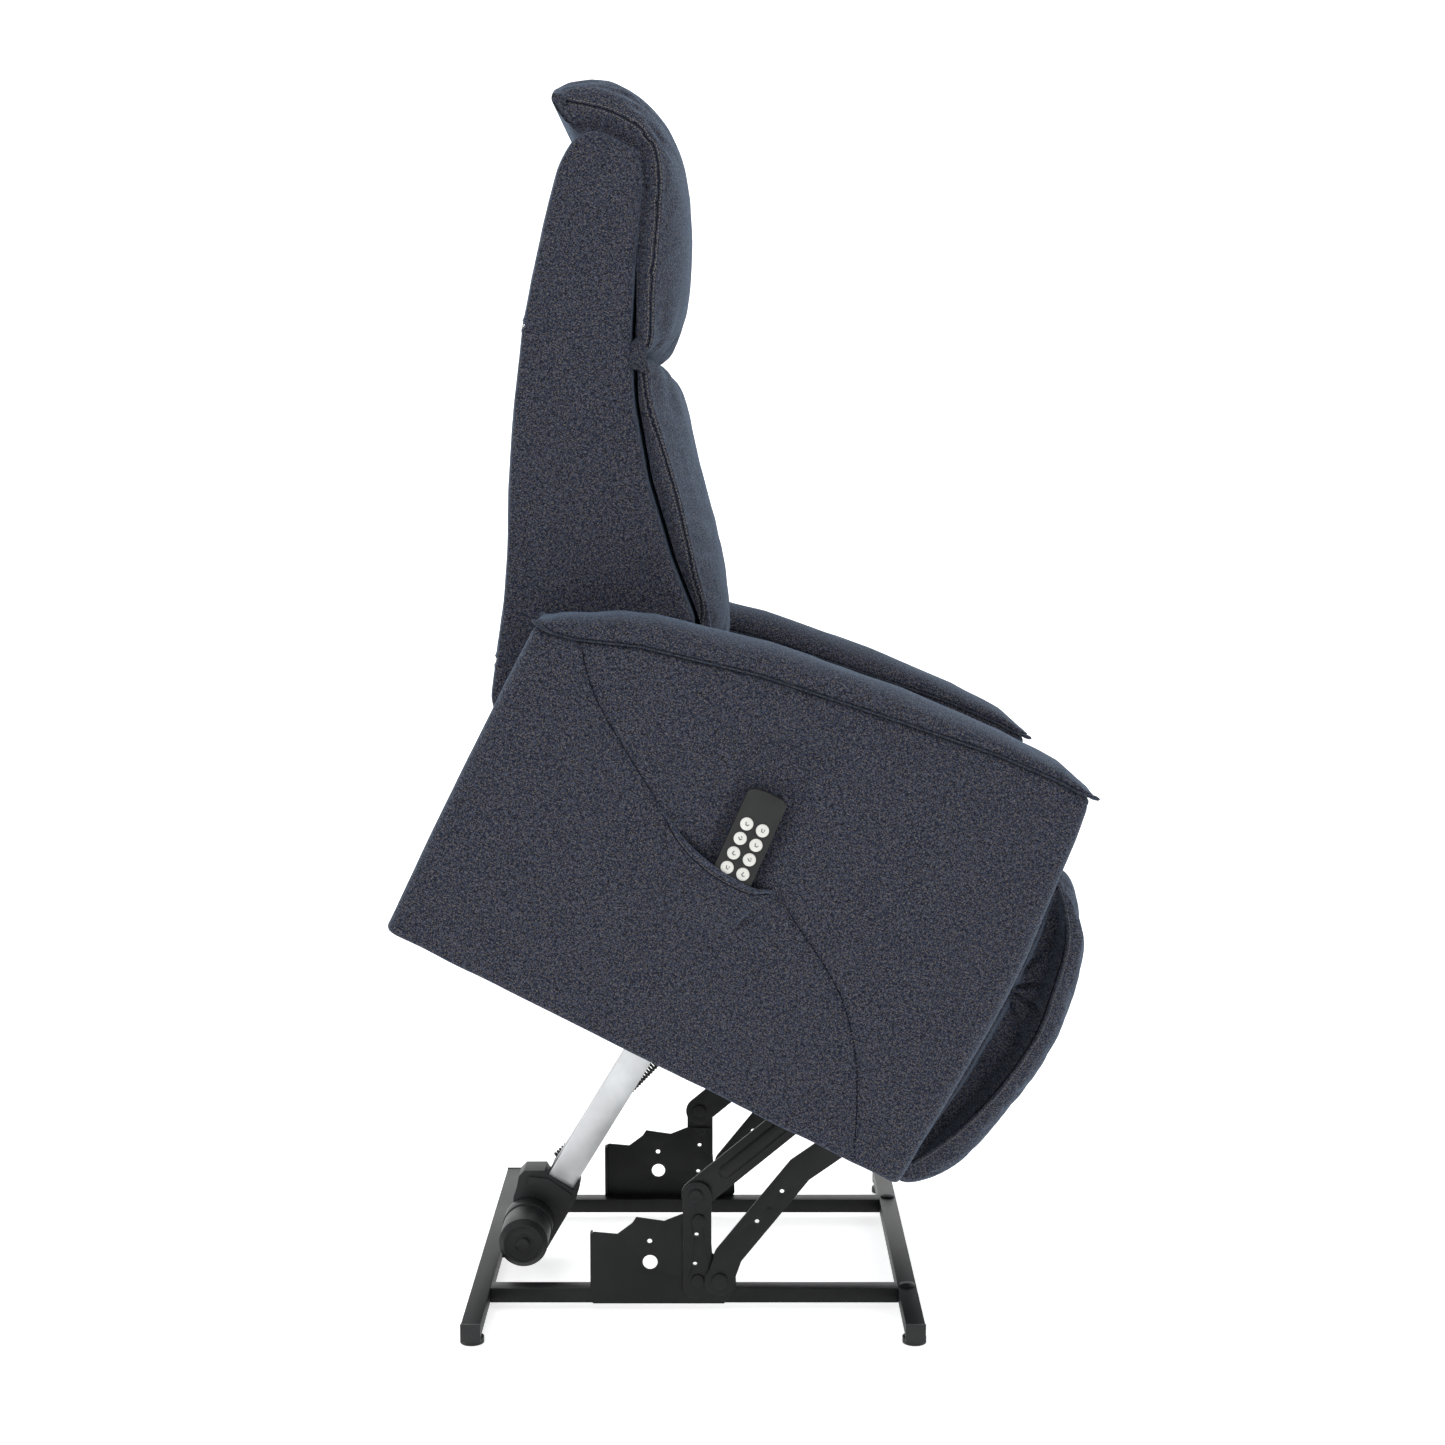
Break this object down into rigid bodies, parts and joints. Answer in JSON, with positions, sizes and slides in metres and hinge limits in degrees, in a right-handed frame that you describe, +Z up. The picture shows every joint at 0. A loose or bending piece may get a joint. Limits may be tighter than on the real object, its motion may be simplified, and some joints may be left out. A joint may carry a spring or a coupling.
{
  "type": "power lift recliner chair",
  "caption": "Upholstered power recliner on a tubular steel base whose link arms raise and tilt the seat, with a swing-out legrest, reclining back and a handset in a side pocket.",
  "frame": {"origin": "on the floor at the centre of the base, midway between its cross tubes and on the chair's centre plane", "axes": "+X forward (the way the occupant faces), +Y to the occupant's left, +Z up; the rest pose is the fully raised, forward-tilted chair with the legrest folded and the back upright"},
  "size_m": [0.8759, 0.787, 1.6304],
  "materials": {
    "black_plastic": "matte moulded",
    "button_plastic": "smooth cream",
    "channel_aluminium": "satin anodised",
    "handset_plastic": "fine matte",
    "navy_fabric": "woven melange upholstery cloth",
    "plywood": "raw birch plywood",
    "powder_coated_steel": "satin black powder coat",
    "zinc_steel": "zinc plated"
  },
  "bodies": {
    "base": {"base_rear_tube": "powder_coated_steel", "base_front_tube": "powder_coated_steel", "base_rail_left": "powder_coated_steel", "base_rail_right": "powder_coated_steel", "lift_plate_left": "powder_coated_steel", "lift_plate_right": "powder_coated_steel", "lift_upright_left": "powder_coated_steel", "lift_upright_right": "powder_coated_steel", "base_feet": "black_plastic", "base_rivets": "powder_coated_steel", "lift_pivot_pins": "powder_coated_steel", "actuator_foot_bracket": "powder_coated_steel"},
    "rear_lift_links": {"rear_lift_link_left": "powder_coated_steel", "rear_lift_link_right": "powder_coated_steel"},
    "front_lift_links": {"front_lift_link_left": "powder_coated_steel", "front_lift_link_right": "powder_coated_steel", "link_torsion_tube": "powder_coated_steel"},
    "seat_frame": {"side_plate_left": "powder_coated_steel", "side_plate_right": "powder_coated_steel", "seat_frame_tubes": "powder_coated_steel", "seat_springs": "zinc_steel", "seat_cushion": "navy_fabric", "arm_frame_left": "plywood", "arm_frame_right": "plywood", "arm_cover_left": "navy_fabric", "arm_cover_right": "navy_fabric", "arm_bolts": "zinc_steel", "power_box": "black_plastic", "frame_pivot_pins": "zinc_steel", "remote_pocket": "navy_fabric"},
    "lift_actuator": {"lift_motor": "black_plastic", "lift_gearbox": "black_plastic", "lift_channel": "channel_aluminium", "lift_screw": "zinc_steel", "motor_cable": "black_plastic"},
    "lift_nut": {"lift_nut": "black_plastic"},
    "backrest": {"back_brackets": "powder_coated_steel", "back_frame": "plywood", "back_shell": "navy_fabric", "lumbar_cushion": "navy_fabric", "head_pillow": "navy_fabric"},
    "recline_actuator": {"recline_actuator": "black_plastic"},
    "recline_rod": {"recline_rod": "zinc_steel"},
    "legrest_rear_links": {"legrest_rear_links": "powder_coated_steel"},
    "legrest_front_links": {"legrest_front_links": "powder_coated_steel"},
    "legrest_guide_links": {"legrest_guide_links": "powder_coated_steel"},
    "legrest_board_links": {"legrest_board_links": "powder_coated_steel"},
    "legrest": {"legrest_board": "plywood", "legrest_pad": "navy_fabric"},
    "legrest_actuator": {"legrest_actuator": "black_plastic"},
    "legrest_rod": {"legrest_rod": "zinc_steel"},
    "remote": {"remote_case": "handset_plastic"},
    "button_1": {"remote_button_1": "button_plastic"},
    "button_2": {"remote_button_2": "button_plastic"},
    "button_3": {"remote_button_3": "button_plastic"},
    "button_4": {"remote_button_4": "button_plastic"},
    "button_5": {"remote_button_5": "button_plastic"},
    "button_6": {"remote_button_6": "button_plastic"},
    "button_7": {"remote_button_7": "button_plastic"},
    "button_8": {"remote_button_8": "button_plastic"}
  },
  "joints": [
    {"name": "lift", "type": "hinge", "parent": "base", "child": "rear_lift_links", "pos_m": [0.003, 0, 0.16], "axis": [0, 1, 0], "range_deg": [0, 44.72]},
    {"name": "seat_frame_tilt", "type": "hinge", "parent": "rear_lift_links", "child": "seat_frame", "pos_m": [0.22437, 0, 0.34248], "axis": [0, -1, 0], "range_deg": [0, 71.72]},
    {"name": "front_link_swing", "type": "hinge", "parent": "base", "child": "front_lift_links", "pos_m": [0.034, 0, 0.0455], "axis": [0, 1, 0], "range_deg": [0, 41.12]},
    {"name": "lift_actuator_swing", "type": "hinge", "parent": "base", "child": "lift_actuator", "pos_m": [-0.236, 0, 0.044], "axis": [0, 1, 0], "range_deg": [0, 37.15]},
    {"name": "lift_nut_travel", "type": "slide", "parent": "lift_actuator", "child": "lift_nut", "axis": [-0.5195, 0, -0.8545], "range_m": [0, 0.19088]},
    {"name": "recline", "type": "hinge", "parent": "seat_frame", "child": "backrest", "pos_m": [-0.1448, 0, 0.80454], "axis": [0, -1, 0], "range_deg": [0, 48]},
    {"name": "recline_actuator_swing", "type": "hinge", "parent": "seat_frame", "child": "recline_actuator", "pos_m": [0.16339, 0.09, 0.51731], "axis": [0, 1, 0], "range_deg": [0, 3.48]},
    {"name": "recline_rod_travel", "type": "slide", "parent": "recline_actuator", "child": "recline_rod", "axis": [0.8952, 0, -0.4457], "range_m": [0, 0.09703]},
    {"name": "legrest", "type": "hinge", "parent": "seat_frame", "child": "legrest_rear_links", "pos_m": [0.21058, 0, 0.4945], "axis": [0, -1, 0], "range_deg": [0, 70.17]},
    {"name": "legrest_front_link_swing", "type": "hinge", "parent": "legrest_rear_links", "child": "legrest_front_links", "pos_m": [0.17701, 0, 0.33643], "axis": [0, 1, 0], "range_deg": [0, 98.03]},
    {"name": "legrest_board_tilt", "type": "hinge", "parent": "legrest_front_links", "child": "legrest", "pos_m": [0.3796, 0, 0.46455], "axis": [0, -1, 0], "range_deg": [0, 117.86]},
    {"name": "legrest_guide_swing", "type": "hinge", "parent": "seat_frame", "child": "legrest_guide_links", "pos_m": [0.26086, 0, 0.50794], "axis": [0, -1, 0], "range_deg": [0, 71.37]},
    {"name": "legrest_board_link_swing", "type": "hinge", "parent": "legrest_rear_links", "child": "legrest_board_links", "pos_m": [0.18863, 0, 0.39112], "axis": [0, 1, 0], "range_deg": [0, 96.19]},
    {"name": "legrest_actuator_swing", "type": "hinge", "parent": "seat_frame", "child": "legrest_actuator", "pos_m": [-0.11381, -0.09, 0.64509], "axis": [0, -1, 0], "range_deg": [0, 1.5]},
    {"name": "legrest_rod_travel", "type": "slide", "parent": "legrest_actuator", "child": "legrest_rod", "axis": [0.8463, 0, -0.5328], "range_m": [0, 0.05669]},
    {"name": "remote_lift_out", "type": "slide", "parent": "seat_frame", "child": "remote", "axis": [0.4067, 0, 0.9135], "range_m": [0, 0.06]},
    {"name": "button_1_press", "type": "slide", "parent": "remote", "child": "button_1", "axis": [0, 1, 0], "range_m": [0, 0.0008], "stiffness_N_per_m": 900},
    {"name": "button_2_press", "type": "slide", "parent": "remote", "child": "button_2", "axis": [0, 1, 0], "range_m": [0, 0.0008], "stiffness_N_per_m": 900},
    {"name": "button_3_press", "type": "slide", "parent": "remote", "child": "button_3", "axis": [0, 1, 0], "range_m": [0, 0.0008], "stiffness_N_per_m": 900},
    {"name": "button_4_press", "type": "slide", "parent": "remote", "child": "button_4", "axis": [0, 1, 0], "range_m": [0, 0.0008], "stiffness_N_per_m": 900},
    {"name": "button_5_press", "type": "slide", "parent": "remote", "child": "button_5", "axis": [0, 1, 0], "range_m": [0, 0.0008], "stiffness_N_per_m": 900},
    {"name": "button_6_press", "type": "slide", "parent": "remote", "child": "button_6", "axis": [0, 1, 0], "range_m": [0, 0.0008], "stiffness_N_per_m": 900},
    {"name": "button_7_press", "type": "slide", "parent": "remote", "child": "button_7", "axis": [0, 1, 0], "range_m": [0, 0.0008], "stiffness_N_per_m": 900},
    {"name": "button_8_press", "type": "slide", "parent": "remote", "child": "button_8", "axis": [0, 1, 0], "range_m": [0, 0.0008], "stiffness_N_per_m": 900}
  ],
  "couplings": [
    {"joint": "seat_frame_tilt", "follows": "lift", "ratio": 1.6038},
    {"joint": "front_link_swing", "follows": "lift", "ratio": 0.91954},
    {"joint": "lift_actuator_swing", "follows": "lift", "ratio": 0.83075},
    {"joint": "lift_nut_travel", "follows": "lift", "m_per_rad": 0.24458},
    {"joint": "recline_actuator_swing", "follows": "recline", "ratio": 0.072521},
    {"joint": "recline_rod_travel", "follows": "recline", "m_per_rad": 0.11582},
    {"joint": "legrest_front_link_swing", "follows": "legrest", "ratio": 1.3971},
    {"joint": "legrest_board_tilt", "follows": "legrest", "ratio": 1.6796},
    {"joint": "legrest_guide_swing", "follows": "legrest", "ratio": 1.0171},
    {"joint": "legrest_board_link_swing", "follows": "legrest", "ratio": 1.3708},
    {"joint": "legrest_actuator_swing", "follows": "legrest", "ratio": 0.021448},
    {"joint": "legrest_rod_travel", "follows": "legrest", "m_per_rad": 0.04629}
  ]
}
